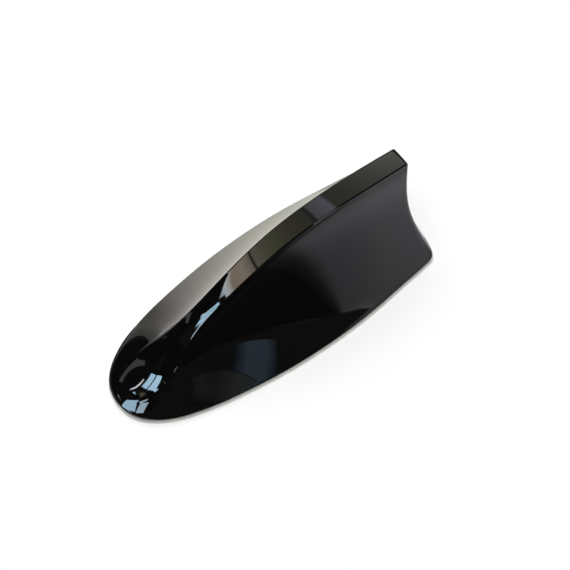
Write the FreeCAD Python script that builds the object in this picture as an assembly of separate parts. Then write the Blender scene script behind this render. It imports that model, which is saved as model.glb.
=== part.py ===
"""Decorative shark-fin roof antenna: a hollow moulded fin on a foam adhesive ring. Sizes in mm.

The nose points to -X, the tail to +X and +Z is up. The adhesive face lies on z = 0, and the origin is the
middle of the part's bounding box there.
"""
import FreeCAD
import Part
import os
from FreeCAD import Vector

# Overall fin, above the straight land that runs round its foot
LENGTH = 165.0
WIDTH = 69.0
FIN_HEIGHT = 62.4
LAND = 2.4

# Flat strip along the top, and the flanks that flare out below it
STRIP_WIDTH = 10.0
EDGE_BREAK = 0.6
FLANK_HOLLOW = 1.8

# Trailing face: how far its head stands in front of its foot, how high its flare reaches, how deep it is
# hollowed and drawn back above the hollow, its round in plan, the break along its head and the head's height
TAIL_LEAN = 10.9
TAIL_FLARE = 30.3
TAIL_HOLLOW = 3.7
TAIL_BELLY = 2.6
TAIL_PLAN_RADIUS = 110.0
TAIL_BREAK = 0.5
TAIL_HEAD = 0.95

# Shell
WALL = 2.2
LEDGE_WIDTH = 7.0
RIB_THICK = 1.5
RIB_CLEAR = 9.0
RIB_STATIONS = (0.36, 0.56, 0.76)

# Foam adhesive ring, which shows as a pale rim just outside the foot
FOAM_THICK = 1.6
FOAM_OVERHANG = 0.8
OUTLINE_FIT = 0.15

# Lines of the fin from nose to tail. Each row holds the share of the length, of the half width and of the
# strip's half width, the share of the height at the strip's edge, the strip's crown as a share of its usual
# half width, how much wider its broken edge is and how far the section is creased (1) or a round dome (0).
LINES = (
    (0.000, 0.000, 0.00, 0.000, 0.00, 1.0, 0.0),
    (0.000, 0.294, 1.80, 0.014, 0.32, 4.0, 0.0),
    (0.079, 0.609, 3.00, 0.063, 0.30, 4.0, 0.15),
    (0.158, 0.728, 1.90, 0.157, 0.22, 4.5, 0.65),
    (0.224, 0.815, 0.90, 0.404, 0.10, 2.2, 1.0),
    (0.303, 0.881, 0.80, 0.585, 0.06, 1.5, 1.0),
    (0.412, 0.960, 0.92, 0.778, 0.04, 1.1, 1.0),
    (0.545, 1.003, 0.96, 0.974, 0.04, 1.0, 1.0),
    (0.703, 0.999, 1.00, 1.010, 0.04, 1.0, 1.0),
    (0.848, 0.912, 1.02, 0.983, 0.04, 1.0, 1.0),
    (0.945, 0.875, 0.96, 0.957, 0.04, 1.0, 1.0),
    (1.000, 0.820, 0.96, 0.943, 0.04, 1.0, 1.0),
    (1.000, 0.350, 0.96, 0.943, 0.04, 1.0, 1.0),
)

# Row span after which the nose goes over into the body
SHOULDER = 3

# Half a round dome of unit half width and height: four poles up the flank, one over the edge, one by the top
DOME = ((1.0, 0.0), (1.0, 0.351), (0.804, 0.690), (0.5, 0.866), (0.407, 0.914), (0.148, 1.029))

BASE_Z = FOAM_THICK + LAND
TAIL_X = LENGTH / 2


def half_section(half, strip, rise, crown, broken, crease):
    """Poles of one half section: four up the flank, one over the broken edge and one beside the middle."""
    creased = (
        (half, 0.0),
        (strip + (half - strip) * (1 - FLANK_HOLLOW / 3), rise / 3),
        (strip, rise * 2 / 3),
        (strip, rise - broken),
        (strip - broken, rise),
        (0.35 * strip, rise + crown),
    )
    poles = []
    for (y, z), (dome_y, dome_z) in zip(creased, DOME):
        y = crease * y + (1 - crease) * dome_y * half
        z = crease * z + (1 - crease) * dome_z * (rise + crown)
        poles.append((y, z, 0.0))
    return poles


def half_lines(inset):
    """Half sections of the fin at its lines, drawn in by an inset, each with its place along the fin."""
    found = []
    for along, across, strip, up, crown, wider, crease in LINES:
        x = (along - 0.5) * (LENGTH - 2 * inset)
        half = across * (WIDTH / 2 - 1.2 * inset)
        edge = min(max(strip * STRIP_WIDTH / 2 - 0.9 * inset, 0.0), 0.9 * half)
        rise = max(up * FIN_HEIGHT - inset, 0.1 * up * FIN_HEIGHT)
        broken = min(wider * EDGE_BREAK, 0.3 * rise, 0.3 * edge)
        found.append((x, half_section(half, edge, rise, crown * STRIP_WIDTH / 2, broken, crease)))
    return found


def patch(rows):
    """Faces through rows of poles, smooth from nose to tail and parted at the shoulder."""
    across = len(rows[0]) - 1
    u_knots = list(range(len(rows) - 2))
    u_mults = [4] + [1] * (len(u_knots) - 2) + [4]
    faces = []
    for start, end in ((0, SHOULDER), (SHOULDER, u_knots[-1])):
        surface = Part.BSplineSurface()
        surface.buildFromPolesMultsKnots(
            rows, u_mults, [across + 1] * 2, u_knots, [0, 1], False, False, 3, across
        )
        surface.segment(start, end, 0, 1)
        faces.append(surface.toShape())
    return faces


def placed(x, side, poles):
    """Poles of one side of a section as points of the fin."""
    return [Vector(x, side * pole[0], BASE_Z + pole[1]) for pole in poles]


def skin():
    """Outer faces: two flanks, two broken edges and the strip with the hood of the nose."""
    rows = half_lines(0.0)
    faces = []
    for side in (-1, 1):
        faces.extend(patch([placed(x, side, poles[:4]) for x, poles in rows]))
        faces.extend(patch([placed(x, side, poles[3:5]) for x, poles in rows]))
    faces.extend(patch([placed(x, -1, poles[4:]) + placed(x, 1, poles[:3:-1]) for x, poles in rows]))
    return faces


def core_line(poles):
    """Three straight runs along a curve of four poles, each halfway between the curve and its poles."""
    first, second, third, last = (Vector(*pole) for pole in poles)
    low = (first * 8 + second * 12 + third * 6 + last) / 27
    high = (first + second * 6 + third * 12 + last * 8) / 27
    return [first, (low + second) / 2, (high + third) / 2, last]


def core_skin():
    """Faces of the moulding core, which follows the skin in long panels that are straight across."""
    rows = [(x, core_line(poles[:4])) for x, poles in half_lines(WALL)]
    faces = []
    for side in (-1, 1):
        for low in range(3):
            faces.extend(patch([placed(x, side, line[low:low + 2]) for x, line in rows]))
    faces.extend(patch([placed(x, -1, line[3:]) + placed(x, 1, line[3:]) for x, line in rows]))
    return faces


def dome(faces):
    """Solid under a skin, closed by a flat foot and a flat end at the tail."""
    edges = [edge for face in faces for edge in face.Edges if edge.Length > 0.01]
    tail = max(edge.BoundBox.XMax for edge in edges)
    ends = [edge for edge in edges if edge.BoundBox.XMin > tail - 0.01]
    feet = [edge for edge in edges if edge.BoundBox.ZMax < BASE_Z + 0.01]
    corners = sorted((v.Point for end in ends for v in end.Vertexes), key=lambda point: point.z)
    close = Part.makeLine(corners[0], corners[1])
    foot = Part.Face(Part.Wire(Part.__sortEdges__(feet + [close])))
    back = Part.Face(Part.Wire(Part.__sortEdges__(ends + [close])))
    shell = Part.Compound(faces + [foot, back])
    shell.sewShape()
    return Part.makeSolid(shell.Shells[0])


def tail_curve(inset):
    """Hollow profile of the trailing face in the middle plane, from its foot up to its head."""
    foot_x = TAIL_X - inset
    head_x = foot_x - TAIL_LEAN
    curve = Part.BezierCurve()
    curve.setPoles([
        Vector(foot_x, 0, BASE_Z),
        Vector(head_x - TAIL_HOLLOW, 0, BASE_Z + TAIL_FLARE),
        Vector(head_x + TAIL_BELLY, 0, BASE_Z + 0.6 * FIN_HEIGHT),
        Vector(head_x, 0, BASE_Z + TAIL_HEAD * FIN_HEIGHT - inset - TAIL_BREAK),
    ])
    return curve


def before_tail(edges):
    """Everything in front of a trailing face with the given profile, which is gently round in plan."""
    axis_x = TAIL_X - TAIL_PLAN_RADIUS
    foot = edges[0].Vertexes[0].Point
    head = edges[-1].Vertexes[-1].Point
    top = BASE_Z + 1.3 * FIN_HEIGHT
    corners = [
        head,
        head + Vector(-TAIL_BREAK, 0, TAIL_BREAK),
        Vector(head.x - TAIL_BREAK, 0, top),
        Vector(axis_x, 0, top),
        Vector(axis_x, 0, 0),
        Vector(foot.x, 0, 0),
        foot,
    ]
    profile = Part.Wire(edges + Part.makePolygon(corners).Edges)
    body = Part.Face(profile).revolve(Vector(axis_x, 0, 0), Vector(0, 0, 1), 360)
    return body.rotate(Vector(axis_x, 0, 0), Vector(0, 0, 1), 180)


def foot_curve(inset, side):
    """Foot of one flank on z = 0 in a chain of arcs, drawn in by an inset."""
    poles = []
    for row in LINES:
        poles.append(Vector((row[0] - 0.5) * (LENGTH - 2 * inset), side * row[1] * (WIDTH / 2 - inset), 0))
    knots = list(range(len(poles) - 2))
    mults = [4] + [1] * (len(knots) - 2) + [4]
    curve = Part.BSplineCurve()
    curve.buildFromPolesMultsKnots(poles, mults, knots, False, 3)
    return [arc.toShape() for arc in curve.toBiArcs(OUTLINE_FIT)]


def plan(inset):
    """Outline of the fin's foot on z = 0, drawn in by an inset."""
    left = foot_curve(inset, -1)
    right = foot_curve(inset, 1)
    close = Part.makeLine(left[-1].Vertexes[-1].Point, right[-1].Vertexes[-1].Point)
    face = Part.Face(Part.Wire(Part.__sortEdges__(left + right + [close])))
    middle = Vector(TAIL_X - TAIL_PLAN_RADIUS, 0, 0)
    round_end = Part.Face(Part.Wire(Part.makeCircle(TAIL_PLAN_RADIUS - inset, middle)))
    return face.common(round_end).Faces[0]


def slab(face, low, high):
    """Straight block over a flat face."""
    block = face.extrude(Vector(0, 0, high - low))
    block.translate(Vector(0, 0, low))
    return block


def fin_body():
    """The fin as a full solid, down to the bottom of its land."""
    body = dome(skin()).common(before_tail([tail_curve(0.0).toShape()]))
    flat = [f for f in body.Faces if f.BoundBox.ZLength < 0.01]
    foot = min(flat, key=lambda f: f.BoundBox.ZMin)
    return body.fuse(foot.extrude(Vector(0, 0, -LAND)))


def core():
    """Room inside the shell: under the skin but for the ribs, and out through the ring of the ledge."""
    profile = core_line(tail_curve(WALL).getPoles())
    room = dome(core_skin()).common(before_tail(Part.makePolygon(profile).Edges))
    for station in RIB_STATIONS:
        rib = Part.makeBox(RIB_THICK, WIDTH, 2 * FIN_HEIGHT)
        x = (station - 0.5) * LENGTH - RIB_THICK / 2
        rib.translate(Vector(x, -WIDTH / 2, FOAM_THICK + RIB_CLEAR))
        room = room.cut(rib)
    return room.fuse(slab(plan(LEDGE_WIDTH), FOAM_THICK, BASE_Z))


def fin_shell():
    """The moulding: land, ledge, skin and ribs in one piece."""
    return fin_body().cut(core()).Solids[0]


def foam_ring():
    """Adhesive ring under the ledge, a little wider than the foot."""
    ring = plan(-FOAM_OVERHANG).cut(plan(LEDGE_WIDTH))
    return slab(ring.Faces[0], 0.0, FOAM_THICK)


def main():
    """Write each piece to its own file."""
    os.makedirs("parts", exist_ok=True)
    pieces = {"fin_shell": fin_shell(), "foam_ring": foam_ring()}
    for name, shape in pieces.items():
        shape.exportStep("parts/" + name + ".step")


main()
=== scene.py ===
"""Looks of a decorative shark-fin roof antenna: gloss black on a pale foam ring, in a bright studio."""
import logging
import math
from dataclasses import dataclass
from enum import Enum

import bmesh
import bpy
import numpy as np
from mathutils import Matrix, Vector


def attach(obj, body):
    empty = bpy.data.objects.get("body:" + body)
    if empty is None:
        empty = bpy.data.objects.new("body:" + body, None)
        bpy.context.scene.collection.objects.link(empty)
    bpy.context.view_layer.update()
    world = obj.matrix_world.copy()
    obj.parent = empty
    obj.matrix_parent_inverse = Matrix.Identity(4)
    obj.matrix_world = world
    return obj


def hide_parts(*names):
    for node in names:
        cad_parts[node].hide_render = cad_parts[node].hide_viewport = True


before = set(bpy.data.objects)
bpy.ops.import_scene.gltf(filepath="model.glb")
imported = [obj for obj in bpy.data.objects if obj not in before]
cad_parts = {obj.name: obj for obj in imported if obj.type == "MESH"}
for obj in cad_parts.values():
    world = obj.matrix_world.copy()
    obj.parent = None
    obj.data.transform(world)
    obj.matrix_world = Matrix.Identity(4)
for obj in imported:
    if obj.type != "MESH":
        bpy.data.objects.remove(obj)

LOG = logging.getLogger("shark_fin")
MM = 0.001
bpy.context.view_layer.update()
# Degree of the skin's splines along the fin.
DEGREE = 3
# A share or a length in mm that counts as nothing.
TINY = 1e-9
# Metres: points closer than the weld are joined, and edges shorter than the sliver are dissolved.
WELD = 2e-6
SLIVER = 1e-7


class Ray(Enum):
    """Kinds of light path that a card or a lamp of the studio takes part in."""

    CAMERA = "visible_camera"
    DIFFUSE = "visible_diffuse"
    GLOSSY = "visible_glossy"
    TRANSMISSION = "visible_transmission"
    SHADOW = "visible_shadow"


class Side(Enum):
    """The two looks of the moulding: the polished outside and the plain inside."""

    OUTSIDE = 0
    INSIDE = 1


@dataclass(frozen=True)
class Station:
    """One of the fin's lines, by shares of the main sizes.

    The first four go along the length, across the half width, over the strip's half width and up the height.
    Then come the strip's crown, how much wider its edge is broken, and its crease: 0 is a dome, 1 a strip.
    """

    along: float
    across: float
    strip: float
    up: float
    crown: float
    wider: float
    crease: float


STATIONS = (
    Station(0.000, 0.000, 0.00, 0.000, 0.00, 1.0, 0.0),
    Station(0.000, 0.294, 1.80, 0.014, 0.32, 2.4, 0.0),
    Station(0.079, 0.609, 3.00, 0.063, 0.30, 2.4, 0.0),
    Station(0.158, 0.728, 1.90, 0.157, 0.22, 2.7, 0.3),
    Station(0.224, 0.815, 0.90, 0.404, 0.10, 1.4, 0.9),
    Station(0.303, 0.881, 0.80, 0.585, 0.06, 1.0, 1.0),
    Station(0.412, 0.960, 0.92, 0.778, 0.04, 1.0, 1.0),
    Station(0.545, 1.003, 0.96, 0.974, 0.04, 1.0, 1.0),
    Station(0.703, 0.999, 1.00, 1.010, 0.04, 1.0, 1.0),
    Station(0.848, 0.912, 1.02, 0.983, 0.04, 1.0, 1.0),
    Station(0.945, 0.875, 0.96, 0.957, 0.04, 1.0, 1.0),
    Station(1.000, 0.820, 0.96, 0.943, 0.04, 1.0, 1.0),
    Station(1.000, 0.350, 0.96, 0.943, 0.04, 1.0, 1.0),
)

# Spans of the skin along the fin: a place along it goes from 0 to this.
SPANS = float(len(STATIONS) - DEGREE)

# Poles of a round half section, as shares of its half width and its height.
DOME = np.array(
    ((1.0, 0.0), (1.0, 0.351), (0.804, 0.690), (0.5, 0.866), (0.455, 0.893), (0.407, 0.914), (0.148, 1.029))
)


def share_of(part: np.ndarray, whole: np.ndarray) -> np.ndarray:
    """Part divided by whole, and 0 where there is no whole."""
    return np.divide(part, whole, out=np.zeros(part.shape), where=whole > 0)


def cubic_basis(count: int, at: np.ndarray) -> np.ndarray:
    """Weights of the poles of a clamped uniform cubic spline.

    Args:
        count: how many poles the spline has.
        at: places along it, from 0 to its count of poles less its degree.

    Returns:
        One row of weights for each place.
    """
    last = float(count - DEGREE)
    knots = np.concatenate(([0.0] * DEGREE, np.arange(last + 1), [last] * DEGREE))
    t = np.clip(at, 0.0, last - TINY)[:, None]
    weights = ((knots[:-1] <= t) & (t < knots[1:])).astype(float)
    for degree in range(1, DEGREE + 1):
        start = knots[: -degree - 1]
        end = knots[degree + 1 :]
        low = share_of(t - start, knots[degree:-1] - start)
        high = share_of(end - t, end - knots[1:-degree])
        weights = low * weights[:, :-1] + high * weights[:, 1:]
    return weights


def bezier(poles: np.ndarray, share: np.ndarray) -> np.ndarray:
    """Points of Bezier curves.

    Args:
        poles: curves, poles, coordinates.
        share: place along each curve, from 0 to 1.

    Returns:
        One point for each curve.
    """
    points = poles
    part = share[:, None, None]
    while points.shape[1] > 1:
        points = points[:, :-1] * (1 - part) + points[:, 1:] * part
    return points[:, 0]


@dataclass
class FinForm:
    """The fin's form in mm, drawn in from the outer skin by an inset.

    It follows the solid's lines, and is a little softer at the nose, the strip's edges and the tail's rim.
    The half with y above 0 is given as a grid: rows go from the foot up to the strip's middle, and columns
    from the nose along the flank, round the tail's edge and over the trailing face to its middle.
    """

    inset: float = 0.0
    side_share: float = 1.2
    round_foot: float = 3.0
    round_head: float = 0.9
    length: float = 165.0
    width: float = 69.0
    height: float = 62.4
    base: float = 4.0
    strip_width: float = 10.0
    edge_break: float = 1.0
    flank_hollow: float = 1.8
    tail_lean: float = 10.9
    tail_flare: float = 30.3
    tail_hollow: float = 3.7
    tail_belly: float = 2.6
    tail_radius: float = 110.0
    tail_break: float = 0.5
    tail_head: float = 0.95
    flank_end: float = 0.72
    edge_end: float = 0.84
    strip_inset: float = 0.9
    strip_limit: float = 0.9
    least_rise: float = 0.1
    break_limit: float = 0.3
    crown_place: float = 0.35
    belly_height: float = 0.6
    round_power: float = 1.3
    rim_lift: float = 6.0
    trim_start: float = 5.0
    trim_steps: int = 50
    profile_count: int = 400
    along_count: int = 190
    turn_count: int = 7
    tail_count: int = 18

    def __post_init__(self) -> None:
        """Work out the poles and the trailing profile."""
        self.x_poles = np.array([(s.along - 0.5) * (self.length - 2 * self.inset) for s in STATIONS])
        self.poles = np.array([self.half_section(s) for s in STATIONS])
        self.tail_z, self.tail_x = self.tail_profile()
        self.axis_x = self.length / 2 - self.tail_radius

    def half_section(self, station: Station) -> np.ndarray:
        """Poles of half a section.

        Args:
            station: the line that the section belongs to.

        Returns:
            Seven poles: four up the flank, the edge's corner, the strip's rim and one beside its middle.
        """
        half = station.across * (self.width / 2 - self.side_share * self.inset)
        full_strip = station.strip * self.strip_width / 2
        strip = min(max(full_strip - self.strip_inset * self.inset, 0.0), self.strip_limit * half)
        full_rise = station.up * self.height
        rise = max(full_rise - self.inset, self.least_rise * full_rise)
        broken = min(station.wider * self.edge_break, self.break_limit * min(rise, strip))
        crown = station.crown * self.strip_width / 2
        creased = np.array((
            (half, 0.0),
            (strip + (half - strip) * (1 - self.flank_hollow / 3), rise / 3),
            (strip, rise * 2 / 3),
            (strip, rise - broken),
            (strip, rise),
            (strip - broken, rise),
            (self.crown_place * strip, rise + crown),
        ))
        round_dome = DOME * (half, rise + crown)
        return station.crease * creased + (1 - station.crease) * round_dome

    def tail_profile(self) -> tuple[np.ndarray, np.ndarray]:
        """The trailing face in the middle plane, from the foot up.

        Returns:
            Its heights and its places along X, in mm.
        """
        foot = self.length / 2 - self.inset
        head = foot - self.tail_lean
        head_z = self.base + self.tail_head * self.height - self.inset - self.tail_break
        poles = np.array((
            (foot, self.base),
            (head - self.tail_hollow, self.base + self.tail_flare),
            (head + self.tail_belly, self.base + self.belly_height * self.height),
            (head, head_z),
        ))
        share = np.linspace(0.0, 1.0, self.profile_count)
        curve = bezier(np.repeat(poles[None], len(share), axis=0), share)
        over_x = head - self.tail_break
        over = np.array(((over_x, head_z + self.tail_break), (over_x, 2 * head_z)))
        whole = np.vstack((curve, over))
        return whole[:, 1], whole[:, 0]

    def on_skin(self, along: np.ndarray, up: np.ndarray) -> np.ndarray:
        """Points of the skin.

        Args:
            along: places from the nose, in spans of the stations.
            up: places in the half section, 0 at the foot and 1 in the strip's middle.

        Returns:
            One point for each pair of places, in mm.
        """
        weights = cubic_basis(len(STATIONS), along)
        poles = np.einsum("ns,spc->npc", weights, self.poles)
        flank = bezier(poles[:, :4], np.clip(up / self.flank_end, 0, 1))
        turn = np.clip((up - self.flank_end) / (self.edge_end - self.flank_end), 0, 1)
        edge = bezier(poles[:, 3:6], turn)
        far = poles[:, 6:4:-1] * (-1, 1)
        strip_poles = np.concatenate((poles[:, 5:7], far), axis=1)
        strip = bezier(strip_poles, 0.5 * np.clip((up - self.edge_end) / (1 - self.edge_end), 0, 1))
        on_flank = (up < self.flank_end)[:, None]
        on_edge = (up < self.edge_end)[:, None]
        yz = np.where(on_flank, flank, np.where(on_edge, edge, strip))
        return np.column_stack((weights @ self.x_poles, yz[:, 0], self.base + yz[:, 1]))

    def tail_at(self, y: np.ndarray, z: np.ndarray) -> np.ndarray:
        """Places along X of the trailing face at the given widths and heights."""
        radius = np.interp(z, self.tail_z, self.tail_x) - self.axis_x
        return self.axis_x + np.sqrt(np.maximum(radius**2 - y**2, 0.0))

    def trimmed(self, up: np.ndarray) -> np.ndarray:
        """Where rows of the skin meet the trailing face.

        Args:
            up: places of the rows in the half section.

        Returns:
            Places along the fin, in spans of the stations.
        """
        low = np.full(len(up), self.trim_start)
        high = np.full(len(up), SPANS)
        for _ in range(self.trim_steps):
            middle = (low + high) / 2
            point = self.on_skin(middle, up)
            behind = point[:, 0] > self.tail_at(point[:, 1], point[:, 2])
            high = np.where(behind, middle, high)
            low = np.where(behind, low, middle)
        return low

    def rounding(self, edge: np.ndarray) -> np.ndarray:
        """Width in mm of the rounding at points of the rim: soft at the flared foot, crisp at the head."""
        share = np.clip(1 - (edge[:, 2] - self.base) / self.height, 0, 1)
        return self.round_head + (self.round_foot - self.round_head) * share**self.round_power

    def tail_rim(self, edge: np.ndarray) -> np.ndarray:
        """Points of the trailing face beside its rim, a rounding's width inside it.

        Args:
            edge: points of the rim, from the foot to the strip's middle.

        Returns:
            One point for each point of the rim.
        """
        width = self.rounding(edge)
        run = np.gradient(edge[:, 1:], axis=0)
        run /= np.maximum(np.linalg.norm(run, axis=1), TINY)[:, None]
        inward = np.column_stack((-run[:, 1], run[:, 0]))
        lift = np.clip((edge[:, 2] - self.base) / (self.rim_lift * width), 0, 1)
        inward[:, 1] *= lift
        inward[-1] = (0.0, -1.0)
        inward /= np.linalg.norm(inward, axis=1)[:, None]
        y = np.maximum(edge[:, 1] + width * inward[:, 0], 0.0)
        z = np.maximum(edge[:, 2] + width * inward[:, 1], self.base)
        return np.column_stack((self.tail_at(y, z), y, z))

    def grid(self, up: np.ndarray) -> np.ndarray:
        """The half form as rows of points.

        Args:
            up: places of the rows in the half section, rising to 1.

        Returns:
            Rows, columns, coordinates in mm.
        """
        end = self.trimmed(up)
        edge = self.on_skin(end, up)
        step = 0.01
        speed = np.linalg.norm(edge - self.on_skin(end - step, up), axis=1) / step
        stop = end - self.rounding(edge) / speed
        share = np.linspace(0.0, 1.0, self.along_count)
        flank = np.stack([self.on_skin(stop * s, up) for s in share], axis=1)
        rim = self.tail_rim(edge)
        turn_poles = np.stack((flank[:, -1], edge, rim), axis=1)
        turn_shares = np.linspace(0, 1, self.turn_count + 1)[1:]
        turn = np.stack([bezier(turn_poles, np.full(len(up), s)) for s in turn_shares], axis=1)
        reach = np.concatenate(([0.0], np.cumsum(np.linalg.norm(np.diff(rim[:, 1:], axis=0), axis=1))))
        middle_z = rim[0, 2] + (rim[-1, 2] - rim[0, 2]) * reach / reach[-1]
        face = []
        for s in np.linspace(0, 1, self.tail_count + 1)[1:]:
            y = rim[:, 1] * (1 - s)
            z = rim[:, 2] * (1 - s) + middle_z * s
            face.append(np.column_stack((self.tail_at(y, z), y, z)))
        whole = np.concatenate((flank, turn, np.stack(face, axis=1)), axis=1)
        whole[:, 0, 1] = 0.0
        whole[:, -1, 1] = 0.0
        whole[-1, :, 1] = 0.0
        return whole

    def foot(self) -> np.ndarray:
        """The form's half outline at its foot, from the nose round to the middle of the tail."""
        return self.grid(np.array((0.0, 0.5, 1.0)))[0]


def at_height(outline: np.ndarray, z: float) -> np.ndarray:
    """An outline moved to a height.

    Args:
        outline: points in mm.
        z: the height in mm.

    Returns:
        The moved points.
    """
    moved = outline.copy()
    moved[:, 2] = z
    return moved


def mirrored_mesh(name: str, rows: np.ndarray, looks: np.ndarray, closed: bool) -> bpy.types.Mesh:
    """Mesh of a grid of points and of its mirror image across Y = 0, joined where they meet.

    Args:
        name: name of the mesh.
        rows: rows, columns, coordinates in mm.
        looks: material index for each strip between two rows.
        closed: whether the last row joins the first.

    Returns:
        A smooth mesh in metres.
    """
    count, columns = rows.shape[:2]
    half = rows.reshape(-1, 3) * MM
    points = np.vstack((half, half * (1, -1, 1)))
    build = bmesh.new()
    verts = [build.verts.new(point) for point in points]
    size = count * columns
    for row in range(count if closed else count - 1):
        below = row * columns
        above = ((row + 1) % count) * columns
        for column in range(columns - 1):
            quad = (below + column, below + column + 1, above + column + 1, above + column)
            for shift, order in ((0, quad), (size, quad[::-1])):
                face = build.faces.new([verts[shift + corner] for corner in order])
                face.material_index = int(looks[row])
                face.smooth = True
    bmesh.ops.remove_doubles(build, verts=build.verts, dist=WELD)
    bmesh.ops.dissolve_degenerate(build, dist=SLIVER, edges=build.edges)
    bmesh.ops.recalc_face_normals(build, faces=build.faces)
    mesh = bpy.data.meshes.new(name)
    build.to_mesh(mesh)
    build.free()
    return mesh


def placed(name: str, mesh: bpy.types.Mesh, materials: list[bpy.types.Material]) -> bpy.types.Object:
    """An object for a mesh, linked to the scene and given its materials.

    Args:
        name: name of the object.
        mesh: its mesh.
        materials: its materials, in the order of the mesh's material indices.

    Returns:
        The object.
    """
    piece = bpy.data.objects.new(name, mesh)
    bpy.context.scene.collection.objects.link(piece)
    for material in materials:
        mesh.materials.append(material)
    return piece


class EffectGroups:
    """Shader node groups for effects that more than one finish uses."""

    MOTTLE_DETAIL = 4.0
    MOTTLE_LOW = 0.3
    MOTTLE_HIGH = 0.7
    RELIEF_DETAIL = 2.0

    def __init__(self) -> None:
        """Build each group once."""
        self.mottle = self.build_mottle()
        self.relief = self.build_relief()

    @staticmethod
    def start(name: str, inputs: dict[str, float], output: str) -> bpy.types.NodeTree:
        """An empty group with its sockets.

        Args:
            name: name of the group.
            inputs: float inputs and their usual values.
            output: name of the float output.

        Returns:
            The group, with its input and output nodes.
        """
        group = bpy.data.node_groups.new(name, "ShaderNodeTree")
        for label, value in inputs.items():
            socket = group.interface.new_socket(label, in_out="INPUT", socket_type="NodeSocketFloat")
            socket.default_value = value
        group.interface.new_socket(output, in_out="OUTPUT", socket_type="NodeSocketFloat")
        group.nodes.new("NodeGroupInput").name = "in"
        group.nodes.new("NodeGroupOutput").name = "out"
        return group

    def build_mottle(self) -> bpy.types.NodeTree:
        """Soft cloudy mask that varies over the surface between two values.

        Returns:
            The group, with Scale, Low and High as inputs and Value as output.
        """
        group = self.start("soft_mottle", {"Scale": 40.0, "Low": 0.0, "High": 1.0}, "Value")
        nodes, links = group.nodes, group.links
        place = nodes.new("ShaderNodeTexCoord")
        noise = nodes.new("ShaderNodeTexNoise")
        noise.inputs["Detail"].default_value = self.MOTTLE_DETAIL
        spread = nodes.new("ShaderNodeMapRange")
        spread.inputs["From Min"].default_value = self.MOTTLE_LOW
        spread.inputs["From Max"].default_value = self.MOTTLE_HIGH
        links.new(place.outputs["Object"], noise.inputs["Vector"])
        links.new(nodes["in"].outputs["Scale"], noise.inputs["Scale"])
        links.new(noise.outputs["Fac"], spread.inputs["Value"])
        links.new(nodes["in"].outputs["Low"], spread.inputs["To Min"])
        links.new(nodes["in"].outputs["High"], spread.inputs["To Max"])
        links.new(spread.outputs["Result"], nodes["out"].inputs["Value"])
        return group

    def build_relief(self) -> bpy.types.NodeTree:
        """Fine height field of rounded grains, from a smooth ripple to open cells.

        Returns:
            The group, with Scale and Cells as inputs and Height as output.
        """
        group = self.start("fine_relief", {"Scale": 600.0, "Cells": 0.0}, "Height")
        nodes, links = group.nodes, group.links
        place = nodes.new("ShaderNodeTexCoord")
        noise = nodes.new("ShaderNodeTexNoise")
        noise.inputs["Detail"].default_value = self.RELIEF_DETAIL
        cells = nodes.new("ShaderNodeTexVoronoi")
        cells.feature = "SMOOTH_F1"
        mix = nodes.new("ShaderNodeMix")
        for texture in (noise, cells):
            links.new(place.outputs["Object"], texture.inputs["Vector"])
            links.new(nodes["in"].outputs["Scale"], texture.inputs["Scale"])
        links.new(nodes["in"].outputs["Cells"], mix.inputs["Factor"])
        links.new(noise.outputs["Fac"], mix.inputs["A"])
        links.new(cells.outputs["Distance"], mix.inputs["B"])
        links.new(mix.outputs["Result"], nodes["out"].inputs["Height"])
        return group


@dataclass(frozen=True)
class Finish:
    """A procedural finish: two tones, a range of roughness and a fine relief."""

    name: str
    dark: tuple[float, float, float]
    light: tuple[float, float, float]
    smooth: float
    rough: float
    mottle_scale: float
    relief_scale: float
    relief_cells: float
    relief_depth_mm: float
    ior: float
    specular: float

    def material(self, effects: EffectGroups) -> bpy.types.Material:
        """Material of the finish.

        Args:
            effects: the shared effect groups.

        Returns:
            A new material.
        """
        material = bpy.data.materials.new(self.name)
        material.use_nodes = True
        nodes, links = material.node_tree.nodes, material.node_tree.links
        shader = nodes["Principled BSDF"]
        shader.inputs["IOR"].default_value = self.ior
        shader.inputs["Specular IOR Level"].default_value = self.specular
        tone = self.mottle(nodes, effects, 0.0, 1.0)
        colours = nodes.new("ShaderNodeMix")
        colours.data_type = "RGBA"
        colours.inputs["A"].default_value = (*self.dark, 1.0)
        colours.inputs["B"].default_value = (*self.light, 1.0)
        links.new(tone.outputs["Value"], colours.inputs["Factor"])
        links.new(colours.outputs["Result"], shader.inputs["Base Color"])
        gloss = self.mottle(nodes, effects, self.smooth, self.rough)
        links.new(gloss.outputs["Value"], shader.inputs["Roughness"])
        relief = nodes.new("ShaderNodeGroup")
        relief.node_tree = effects.relief
        relief.inputs["Scale"].default_value = self.relief_scale
        relief.inputs["Cells"].default_value = self.relief_cells
        bump = nodes.new("ShaderNodeBump")
        bump.inputs["Distance"].default_value = self.relief_depth_mm * MM
        links.new(relief.outputs["Height"], bump.inputs["Height"])
        links.new(bump.outputs["Normal"], shader.inputs["Normal"])
        return material

    def mottle(
        self, nodes: bpy.types.Nodes, effects: EffectGroups, low: float, high: float
    ) -> bpy.types.Node:
        """The cloudy mask placed in a material.

        Args:
            nodes: the material's nodes.
            effects: the shared effect groups.
            low: value of the mask's dark places.
            high: value of its light places.

        Returns:
            The group's node.
        """
        node = nodes.new("ShaderNodeGroup")
        node.node_tree = effects.mottle
        node.inputs["Scale"].default_value = self.mottle_scale
        node.inputs["Low"].default_value = low
        node.inputs["High"].default_value = high
        return node


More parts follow.
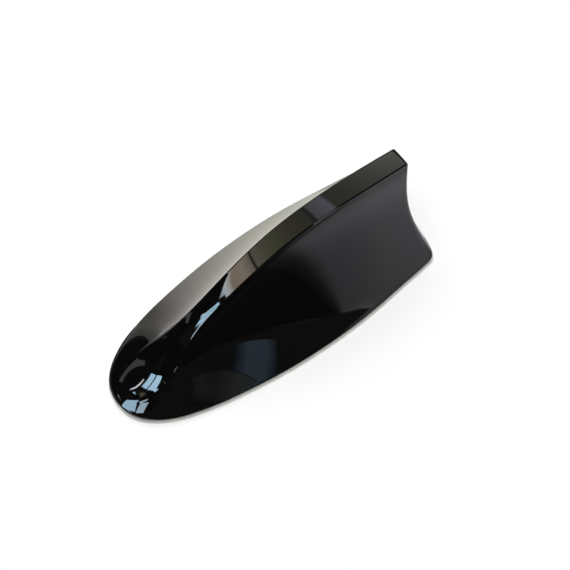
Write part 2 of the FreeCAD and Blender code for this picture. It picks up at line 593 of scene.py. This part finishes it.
POLISHED_BLACK = Finish(
    name="polished_black",
    dark=(0.0010, 0.0010, 0.0011),
    light=(0.0015, 0.0015, 0.0014),
    smooth=0.020,
    rough=0.045,
    mottle_scale=30.0,
    relief_scale=260.0,
    relief_cells=0.0,
    relief_depth_mm=0.0006,
    ior=1.52,
    specular=0.5,
)
MOULDED_BLACK = Finish(
    name="moulded_black",
    dark=(0.010, 0.010, 0.011),
    light=(0.016, 0.016, 0.016),
    smooth=0.34,
    rough=0.52,
    mottle_scale=55.0,
    relief_scale=1500.0,
    relief_cells=0.35,
    relief_depth_mm=0.02,
    ior=1.52,
    specular=0.5,
)
PALE_FOAM = Finish(
    name="pale_foam",
    dark=(0.70, 0.72, 0.67),
    light=(0.82, 0.84, 0.79),
    smooth=0.75,
    rough=0.92,
    mottle_scale=220.0,
    relief_scale=2600.0,
    relief_cells=0.9,
    relief_depth_mm=0.10,
    ior=1.45,
    specular=0.3,
)


@dataclass
class FinShell:
    """The hollow moulding: skin, land, ledge and ribs. Lengths in mm."""

    wall: float = 2.2
    ledge: float = 7.0
    foot_z: float = 1.6
    foot_break: float = 0.25
    foot_round: float = 0.006
    rib_thick: float = 1.5
    rib_low: float = 10.6
    rib_bite: float = 0.3
    rib_stations: tuple[float, ...] = (0.36, 0.56, 0.76)
    rib_samples: int = 2000
    inner_round: float = 1.4
    foot_shares: tuple[float, ...] = (0.25, 0.5, 0.75, 1.0)
    outer_rows: tuple[int, int, int] = (58, 12, 12)
    inner_rows: tuple[int, int, int] = (40, 8, 8)

    def rows_up(self, start: float, counts: tuple[int, int, int], form: FinForm) -> np.ndarray:
        """Places of rows in the half section, close together over the strip's edge.

        Args:
            start: place of the first row.
            counts: how many rows lie on the flank, over the edge and on the strip.
            form: the form that the rows lie on.

        Returns:
            The places, rising to 1.
        """
        flank, edge, strip = counts
        return np.concatenate((
            np.linspace(start, form.flank_end, flank, endpoint=False),
            np.linspace(form.flank_end, form.edge_end, edge, endpoint=False),
            np.linspace(form.edge_end, 1.0, strip),
        ))

    def rows(self) -> tuple[np.ndarray, np.ndarray]:
        """Rows of the half shell from the strip's middle over the foot to the ceiling inside.

        Returns:
            The rows in mm, and the look of each strip between two rows.
        """
        outer = FinForm()
        inner = FinForm(inset=self.wall, round_head=self.inner_round)
        skin = outer.grid(self.rows_up(self.foot_round, self.outer_rows, outer))[::-1]
        foot = outer.foot()
        drop = np.linalg.norm(skin[-1] - foot, axis=1)
        land = foot - np.column_stack((np.zeros((len(drop), 2)), drop))
        turn_poles = np.stack((skin[-1], foot, land), axis=1)
        turn = [bezier(turn_poles, np.full(len(drop), share)) for share in self.foot_shares]
        under = FinForm(inset=self.foot_break, side_share=1.0).foot()
        throat = FinForm(inset=self.ledge, side_share=1.0).foot()
        ceiling = inner.grid(self.rows_up(0.0, self.inner_rows, inner))
        down = [at_height(foot, self.foot_z + self.foot_break), at_height(under, self.foot_z)]
        out = [at_height(throat, self.foot_z), at_height(throat, outer.base)]
        rows = np.concatenate((skin, np.array(turn + down + out), ceiling))
        looks = np.full(len(rows), Side.INSIDE.value)
        looks[: len(skin) + len(turn) + 1] = Side.OUTSIDE.value
        return rows, looks

    def add_rib(self, mesh: bpy.types.Mesh, station: float) -> None:
        """Join a cross rib to the shell's mesh.

        Args:
            mesh: the shell's mesh.
            station: place of the rib as a share of the length.
        """
        inner = FinForm(inset=self.wall)
        x = (station - 0.5) * inner.length
        places = np.linspace(0.0, SPANS, self.rib_samples)
        along = np.interp(x, inner.on_skin(places, np.zeros(len(places)))[:, 0], places)
        up = self.rows_up(0.0, self.inner_rows, inner)
        section = inner.on_skin(np.full(len(up), along), up)[:, 1:]
        section = section[section[:, 1] > self.rib_low]
        first_y = section[0, 0]
        half = np.vstack(((first_y, self.rib_low), section)) + (self.rib_bite, 0.0)
        half[1:, 1] += self.rib_bite
        half[-1, 0] = 0.0
        outline = np.vstack((half, half[-2::-1] * (-1, 1)))
        build = bmesh.new()
        build.from_mesh(mesh)
        sides = []
        for shift in (-self.rib_thick / 2, self.rib_thick / 2):
            sides.append([build.verts.new(((x + shift) * MM, y * MM, z * MM)) for y, z in outline])
        faces = [build.faces.new(sides[0]), build.faces.new(sides[1][::-1])]
        for here in range(len(outline)):
            after = (here + 1) % len(outline)
            faces.append(build.faces.new((sides[0][after], sides[0][here], sides[1][here], sides[1][after])))
        for face in faces:
            face.material_index = Side.INSIDE.value
        bmesh.ops.recalc_face_normals(build, faces=faces)
        build.to_mesh(mesh)
        build.free()

    def build(self, effects: EffectGroups) -> bpy.types.Object:
        """Build and dress the moulding.

        Args:
            effects: the shared effect groups.

        Returns:
            The moulding's object.
        """
        rows, looks = self.rows()
        mesh = mirrored_mesh("fin_moulding", rows, looks, closed=False)
        for station in self.rib_stations:
            self.add_rib(mesh, station)
        materials = [finish.material(effects) for finish in (POLISHED_BLACK, MOULDED_BLACK)]
        piece = placed("fin_moulding", mesh, materials)
        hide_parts("fin_shell")
        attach(piece, "root")
        return piece


@dataclass
class FoamRing:
    """The adhesive foam ring under the ledge. Lengths in mm, shoulder and heel as shares of its thickness."""

    thick: float = 1.6
    overhang: float = 0.8
    ledge: float = 7.0
    pinch: float = 0.12
    shoulder: float = 0.8
    heel: float = 0.25

    def build(self, effects: EffectGroups) -> bpy.types.Object:
        """Build and dress the ring.

        Args:
            effects: the shared effect groups.

        Returns:
            The ring's object.
        """
        places = (
            (self.pinch - self.overhang, self.thick),
            (-self.overhang, self.thick * self.shoulder),
            (-self.overhang, self.thick * self.heel),
            (self.pinch - self.overhang, 0.0),
            (self.ledge - self.pinch, 0.0),
            (self.ledge, self.thick * self.heel),
            (self.ledge, self.thick * self.shoulder),
            (self.ledge - self.pinch, self.thick),
        )
        rows = np.array([at_height(FinForm(inset=inset, side_share=1.0).foot(), z) for inset, z in places])
        mesh = mirrored_mesh("foam_pad", rows, np.zeros(len(rows)), closed=True)
        piece = placed("foam_pad", mesh, [PALE_FOAM.material(effects)])
        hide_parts("foam_ring")
        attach(piece, "root")
        return piece


@dataclass(frozen=True)
class Glow:
    """One stop along a card: its place from 0 to 1, its light in red, green and blue, and its cover."""

    place: float
    light: tuple[float, float, float]
    cover: float = 1.0


def bare_material(name: str) -> bpy.types.Material:
    """A material that has an output and no shader yet.

    Args:
        name: name of the material.

    Returns:
        A new material.
    """
    material = bpy.data.materials.new(name)
    material.use_nodes = True
    nodes = material.node_tree.nodes
    nodes.remove(nodes["Principled BSDF"])
    return material


def glowing(name: str, glows: tuple[Glow, ...]) -> bpy.types.Material:
    """Light of a card, which runs from stop to stop along its own X.

    Args:
        name: name of the material.
        glows: the stops, in order.

    Returns:
        A material that glows where it covers and is clear elsewhere.
    """
    peak = max(max(glow.light) for glow in glows)
    material = bare_material(name)
    nodes, links = material.node_tree.nodes, material.node_tree.links
    place = nodes.new("ShaderNodeTexCoord")
    split = nodes.new("ShaderNodeSeparateXYZ")
    ramp = nodes.new("ShaderNodeValToRGB")
    stops = ramp.color_ramp.elements
    while len(stops) < len(glows):
        stops.new(1.0)
    # All places come before the colours, because the ramp sorts its stops by place.
    for stop, glow in zip(stops, glows):
        stop.position = glow.place
    for stop, glow in zip(stops, glows):
        stop.color = (*(level / peak for level in glow.light), glow.cover)
    clear = nodes.new("ShaderNodeBsdfTransparent")
    either = nodes.new("ShaderNodeMixShader")
    emit = nodes.new("ShaderNodeEmission")
    emit.inputs["Strength"].default_value = peak
    links.new(place.outputs["Generated"], split.inputs["Vector"])
    links.new(split.outputs["X"], ramp.inputs["Fac"])
    links.new(ramp.outputs["Color"], emit.inputs["Color"])
    links.new(ramp.outputs["Alpha"], either.inputs["Fac"])
    links.new(clear.outputs["BSDF"], either.inputs[1])
    links.new(emit.outputs["Emission"], either.inputs[2])
    links.new(either.outputs["Shader"], nodes["Material Output"].inputs["Surface"])
    return material


def only_mirrored(card: bpy.types.Object) -> None:
    """Make a card part of the stage that only mirror rays see.

    Args:
        card: the card's object.
    """
    for ray in (Ray.CAMERA, Ray.DIFFUSE, Ray.SHADOW, Ray.TRANSMISSION):
        setattr(card, ray.value, False)


def even(red: float, green: float, blue: float) -> tuple[Glow, ...]:
    """Stops of a card that glows evenly."""
    return (Glow(0.0, (red, green, blue)), Glow(1.0, (red, green, blue)))


def level_quad(
    name: str, x_reach: tuple[float, float], y_reach: tuple[float, float], z: float
) -> bpy.types.Mesh:
    """Mesh of a level rectangle.

    Args:
        name: name of the mesh.
        x_reach: where it starts and ends along X, in metres.
        y_reach: where it starts and ends along Y, in metres.
        z: its height in metres.

    Returns:
        A mesh with one face that looks up.
    """
    (left, right), (near, far) = x_reach, y_reach
    mesh = bpy.data.meshes.new(name)
    corners = [(left, near, z), (right, near, z), (right, far, z), (left, far, z)]
    mesh.from_pydata(corners, [], [(0, 1, 2, 3)])
    return mesh


@dataclass(frozen=True)
class Sheet:
    """A level card: its height, its reach along X and Y in metres, and its turn about Z in degrees."""

    name: str
    z: float
    x_reach: tuple[float, float]
    y_reach: tuple[float, float]
    glows: tuple[Glow, ...]
    turn: float = 0.0

    def build(self) -> None:
        """Put the card in its place."""
        mesh = level_quad(self.name, self.x_reach, self.y_reach, self.z)
        card = placed(self.name, mesh, [glowing(self.name, self.glows)])
        card.rotation_euler = (0.0, 0.0, math.radians(self.turn))
        only_mirrored(card)


@dataclass(frozen=True)
class Pane:
    """A tilted card, given by the directions of its corners from a spot on the fin. Metres and degrees."""

    name: str
    spot: tuple[float, float, float]
    away: float
    corners: tuple[tuple[float, float], ...]
    glows: tuple[Glow, ...]

    def build(self) -> None:
        """Put the card in its place."""
        points = []
        for turn, lift in self.corners:
            level = self.away * math.cos(math.radians(lift))
            points.append((
                self.spot[0] + level * math.cos(math.radians(turn)),
                self.spot[1] + level * math.sin(math.radians(turn)),
                self.spot[2] + self.away * math.sin(math.radians(lift)),
            ))
        mesh = bpy.data.meshes.new(self.name)
        mesh.from_pydata(points, [], [tuple(range(len(points)))])
        only_mirrored(placed(self.name, mesh, [glowing(self.name, self.glows)]))


# Light of what reads as black in the gloss, and a card that glows evenly with it.
DARK = (0.03, 0.03, 0.03)
BLACK = even(*DARK)
# Spots on the fin, in metres, from which the corners of the panes are sighted.
TIP = (-0.078, -0.001, 0.008)
NOSE = (-0.068, -0.002, 0.010)
CREASE = (-0.058, -0.0085, 0.015)
EDGE = (-0.030, -0.004, 0.042)
TAIL = (0.030, -0.005, 0.066)
FLANK = (-0.020, -0.030, 0.008)
SHEETS = (
    Sheet(
        "ceiling",
        1.2,
        (-1.95, 1.0),
        (0.12, 1.12),
        (
            Glow(0.00, (0.3, 0.3, 0.3)),
            Glow(0.03, (4.0, 4.6, 5.0)),
            Glow(0.08, (7.0, 7.8, 8.2)),
            Glow(0.115, (5.6, 5.4, 5.0)),
            Glow(0.13, (3.4, 2.7, 2.1)),
            Glow(0.21, (3.7, 3.1, 2.5)),
            Glow(0.28, (2.1, 1.9, 1.6)),
            Glow(0.29, (0.3, 0.25, 0.2)),
            Glow(0.30, (0.3, 0.25, 0.2)),
            Glow(0.31, (1.7, 1.5, 1.2)),
            Glow(0.38, (1.3, 1.15, 0.85)),
            Glow(0.47, (0.92, 0.92, 0.60)),
            Glow(0.64, (0.60, 0.57, 0.41)),
            Glow(0.705, (0.50, 0.52, 0.40)),
            Glow(0.72, (0.15, 0.15, 0.14)),
            Glow(0.73, (1.10, 1.10, 1.15)),
            Glow(0.79, (1.45, 1.45, 1.80)),
            Glow(0.80, (0.50, 0.52, 0.42)),
            Glow(0.86, (0.60, 0.63, 0.50)),
            Glow(0.92, (0.90, 0.94, 0.80)),
            Glow(1.00, (1.60, 1.55, 1.50)),
        ),
    ),
    Sheet(
        "far_sheet",
        0.0005,
        (-0.20, 0.45),
        (0.037, 0.70),
        (
            Glow(0.215, (0.48, 0.47, 0.44)),
            Glow(0.228, (0.66, 0.64, 0.59)),
            Glow(0.238, (1.04, 0.98, 0.92)),
            Glow(0.254, (1.48, 1.40, 1.32)),
            Glow(0.274, (1.65, 1.60, 1.45)),
            Glow(0.330, (1.68, 1.66, 1.46)),
        ),
    ),
    Sheet("front_cloth", 0.0006, (-2.50, -0.20), (-2.50, 2.50), BLACK),
    Sheet("right_cloth", 0.0006, (0.38, 2.50), (-2.50, -0.50), even(0.2, 0.2, 0.2)),
    Sheet(
        "side_shade",
        0.0009,
        (-0.10, -0.0285),
        (-0.106, 0.02),
        (Glow(0.63, DARK, 0.0), Glow(0.77, DARK, 0.22), Glow(0.895, DARK, 0.52), Glow(0.98, DARK, 0.64)),
        90.0,
    ),
    Sheet(
        "under_shade",
        0.0009,
        (-0.0285, 0.0),
        (-0.083, 0.02),
        (Glow(0.0, DARK, 0.64), Glow(1.0, DARK, 0.8)),
        90.0,
    ),
    Sheet("foot_shade", 0.0008, (-0.10, -0.058), (0.0, 0.034), BLACK),
    # Dark cloth on the near side, fading up into painted floor shade beside the fin that brightens towards
    # the tail; only the gloss sees it.
    Sheet(
        "near_cloth_and_floor_shade",
        0.0007,
        (-0.90, 0.10),
        (-2.30, 0.0),
        (
            Glow(0.895, DARK),
            Glow(0.908, (0.10, 0.10, 0.10)),
            Glow(0.920, (0.44, 0.45, 0.48)),
            Glow(0.950, (0.55, 0.56, 0.59)),
            Glow(0.965, (0.68, 0.69, 0.72)),
            Glow(0.980, (0.74, 0.75, 0.79)),
            Glow(0.995, (0.84, 0.85, 0.90)),
        ),
        15.0,
    ),
)
PANES = (
    Pane("left_pane", NOSE, 0.13, ((158, 40), (164.5, 38), (168, 53.8), (159, 53.2)), even(7.0, 11.0, 14.0)),
    Pane(
        "right_pane",
        NOSE,
        0.13,
        ((166, 36.5), (172, 31.5), (181, 51.5), (169.7, 53.8)),
        even(7.5, 11.5, 14.5),
    ),
    Pane("pane_back", NOSE, 0.15, ((156, 30), (176, 26), (184, 54.5), (156, 54.5)), BLACK),
    Pane("low_left_pane", TIP, 0.015, ((177, 46), (228, 64), (230, 17), (187, -6)), even(6.0, 9.0, 11.5)),
    Pane("low_right_pane", TIP, 0.015, ((242, 55), (274, 46), (257, 15), (234, 11)), even(6.0, 8.0, 9.5)),
    Pane("low_back", TIP, 0.024, ((142, 30), (150, 61), (236, 62), (236, -8)), BLACK),
    Pane("slit", NOSE, 0.085, ((152.5, 49), (154, 49), (156.5, 53.5), (153.5, 53)), even(12.0, 12.0, 13.0)),
    Pane("nose_flag", NOSE, 0.10, ((100, 4), (156.5, 4), (157.5, 60), (100, 60)), BLACK),
    Pane("nose_wall", NOSE, 0.065, ((118, 32), (138, 33), (140, 38), (118, 40)), even(0.8, 0.8, 0.85)),
    Pane("edge_window", EDGE, 0.9, ((178, 12), (200, 10), (200, 27), (178, 29)), even(8.0, 9.6, 11.0)),
    Pane("edge_flag", CREASE, 0.03, ((176, 13), (206, 13), (206, 31), (176, 31)), BLACK),
    Pane("back_lamp", TAIL, 0.9, ((278, 36), (294, 36), (294, 50), (278, 50)), even(7.0, 7.0, 7.0)),
    Pane(
        "blue_cloth",
        FLANK,
        0.15,
        ((252, 8.5), (272, 8.5), (272, 21), (252, 21)),
        (Glow(0.0, DARK), Glow(0.3, (0.36, 0.50, 0.66)), Glow(0.7, (0.34, 0.50, 0.68)), Glow(1.0, DARK)),
    ),
    Pane(
        "grey_cloth",
        FLANK,
        0.15,
        ((244, 21), (272, 21), (266, 31), (244, 31)),
        (Glow(0.0, DARK), Glow(0.4, (0.28, 0.30, 0.29)), Glow(0.7, (0.30, 0.36, 0.40)), Glow(1.0, DARK)),
    ),
)


@dataclass
class Studio:
    """Pale floor, soft lamp, and a dim tent with the cards that the gloss reflects. Lengths in metres."""

    floor_size: float = 6.0
    floor_tone: float = 0.86
    floor_glow: float = 0.2
    glow_reach: tuple[float, float] = (0.35, 1.2)
    room_tone: float = 0.35
    tent_radius: float = 2.6
    tent_tone: float = 0.07
    tent_colour: tuple[float, float, float] = (1.0, 0.97, 0.93)
    tent_segments: int = 32
    tent_rings: int = 16
    lamp_power: float = 20.0
    lamp_size: float = 1.6
    lamp_place: tuple[float, float, float] = (0.1, 0.25, 1.5)

    def build(self) -> None:
        """Set up the floor, the surroundings, the lamp and the cards."""
        self.build_floor()
        self.build_world()
        self.build_lamp()
        self.build_tent()
        for card in (*SHEETS, *PANES):
            card.build()

    def seen_rays(self, tree: bpy.types.NodeTree) -> bpy.types.NodeSocket:
        """Mask of the rays that show the background: from the camera, or mirrored or passed on to it.

        Args:
            tree: node tree that the mask is built in.

        Returns:
            Socket that is 1 for such a ray.
        """
        path = tree.nodes.new("ShaderNodeLightPath")
        mask = path.outputs["Is Camera Ray"]
        for label in ("Is Glossy Ray", "Is Transmission Ray"):
            either = tree.nodes.new("ShaderNodeMath")
            either.operation = "MAXIMUM"
            tree.links.new(mask, either.inputs[0])
            tree.links.new(path.outputs[label], either.inputs[1])
            mask = either.outputs[0]
        return mask

    def build_floor(self) -> None:
        """Wide pale floor that keeps the fin's soft shadow, white to its far edge and clear from below."""
        reach = (-self.floor_size / 2, self.floor_size / 2)
        mesh = level_quad("floor", reach, reach, 0.0)
        material = bare_material("pale_floor")
        nodes, links = material.node_tree.nodes, material.node_tree.links
        paper = nodes.new("ShaderNodeBsdfDiffuse")
        paper.inputs["Color"].default_value = (self.floor_tone, self.floor_tone, self.floor_tone, 1.0)
        place = nodes.new("ShaderNodeTexCoord")
        away = nodes.new("ShaderNodeVectorMath")
        away.operation = "LENGTH"
        rise = nodes.new("ShaderNodeMapRange")
        rise.inputs["From Min"].default_value, rise.inputs["From Max"].default_value = self.glow_reach
        rise.inputs["To Min"].default_value = self.floor_glow
        level = nodes.new("ShaderNodeMath")
        level.operation = "MULTIPLY"
        glow = nodes.new("ShaderNodeEmission")
        both = nodes.new("ShaderNodeAddShader")
        clear = nodes.new("ShaderNodeBsdfTransparent")
        behind = nodes.new("ShaderNodeNewGeometry")
        either = nodes.new("ShaderNodeMixShader")
        links.new(place.outputs["Object"], away.inputs[0])
        links.new(away.outputs["Value"], rise.inputs["Value"])
        links.new(rise.outputs["Result"], level.inputs[1])
        links.new(self.seen_rays(material.node_tree), level.inputs[0])
        links.new(level.outputs[0], glow.inputs["Strength"])
        links.new(paper.outputs["BSDF"], both.inputs[0])
        links.new(glow.outputs["Emission"], both.inputs[1])
        links.new(behind.outputs["Backfacing"], either.inputs["Fac"])
        links.new(both.outputs["Shader"], either.inputs[1])
        links.new(clear.outputs["BSDF"], either.inputs[2])
        links.new(either.outputs["Shader"], nodes["Material Output"].inputs["Surface"])
        placed("floor", mesh, [material])

    def build_world(self) -> None:
        """White behind the set, and a dim even light from all round."""
        world = bpy.data.worlds.new("studio")
        bpy.context.scene.world = world
        world.use_nodes = True
        nodes, links = world.node_tree.nodes, world.node_tree.links
        tone = nodes.new("ShaderNodeMapRange")
        tone.inputs["To Min"].default_value = self.room_tone
        tone.inputs["To Max"].default_value = 1.0
        links.new(self.seen_rays(world.node_tree), tone.inputs["Value"])
        links.new(tone.outputs["Result"], nodes["Background"].inputs["Strength"])
        nodes["Background"].inputs["Color"].default_value = (1.0, 1.0, 1.0, 1.0)

    def build_lamp(self) -> None:
        """Large soft lamp overhead, which lights the floor and the foam."""
        data = bpy.data.lights.new("soft_lamp", "AREA")
        data.size = self.lamp_size
        data.energy = self.lamp_power
        lamp = bpy.data.objects.new("soft_lamp", data)
        lamp.location = self.lamp_place
        lamp.rotation_euler = (-Vector(self.lamp_place)).to_track_quat("-Z", "Y").to_euler()
        setattr(lamp, Ray.GLOSSY.value, False)
        bpy.context.scene.collection.objects.link(lamp)

    def build_tent(self) -> None:
        """Dim tent round the set, so that the gloss reads black between the cards."""
        build = bmesh.new()
        bmesh.ops.create_uvsphere(
            build, u_segments=self.tent_segments, v_segments=self.tent_rings, radius=self.tent_radius
        )
        mesh = bpy.data.meshes.new("tent")
        build.to_mesh(mesh)
        build.free()
        material = bare_material("tent")
        nodes, links = material.node_tree.nodes, material.node_tree.links
        emit = nodes.new("ShaderNodeEmission")
        emit.inputs["Color"].default_value = (*self.tent_colour, 1.0)
        emit.inputs["Strength"].default_value = self.tent_tone
        links.new(emit.outputs["Emission"], nodes["Material Output"].inputs["Surface"])
        only_mirrored(placed("tent", mesh, [material]))


@dataclass
class PhotoCamera:
    """Camera that sees the fin from the photograph's place. Lengths in mm, angles in degrees."""

    azimuth: float = -36.02
    elevation: float = 68.39
    distance: float = 352.0
    aim_height: float = 29.0
    slide: float = 8.83
    climb: float = -2.35
    focal_px: float = 800.0
    frame_px: float = 570.0
    sensor: float = 36.0
    near_clip: float = 10.0

    def build(self) -> None:
        """Place the camera and make it the scene's own."""
        turn, lift = math.radians(self.azimuth), math.radians(self.elevation)
        back = Vector((math.sin(turn) * math.cos(lift), -math.cos(turn) * math.cos(lift), math.sin(lift)))
        right = Vector((math.cos(turn), math.sin(turn), 0.0))
        upward = back.cross(right)
        aim = Vector((0.0, 0.0, self.aim_height))
        place = aim + back * self.distance + right * self.slide + upward * self.climb
        data = bpy.data.cameras.new("photo_camera")
        data.sensor_width = self.sensor
        data.lens = self.focal_px * self.sensor / self.frame_px
        data.clip_start = self.near_clip * MM
        camera = bpy.data.objects.new("photo_camera", data)
        axes = Matrix((right, upward, back)).transposed().to_4x4()
        camera.matrix_world = Matrix.Translation(place * MM) @ axes
        bpy.context.scene.collection.objects.link(camera)
        bpy.context.scene.camera = camera


def main() -> None:
    """Build the pieces in order, then the studio and the camera."""
    logging.basicConfig(level=logging.INFO)
    bpy.context.scene.view_settings.view_transform = "Standard"
    effects = EffectGroups()
    for piece in (FinShell().build(effects), FoamRing().build(effects)):
        LOG.info("%s has %d faces", piece.name, len(piece.data.polygons))
    Studio().build()
    PhotoCamera().build()


if __name__ == "__main__":
    main()
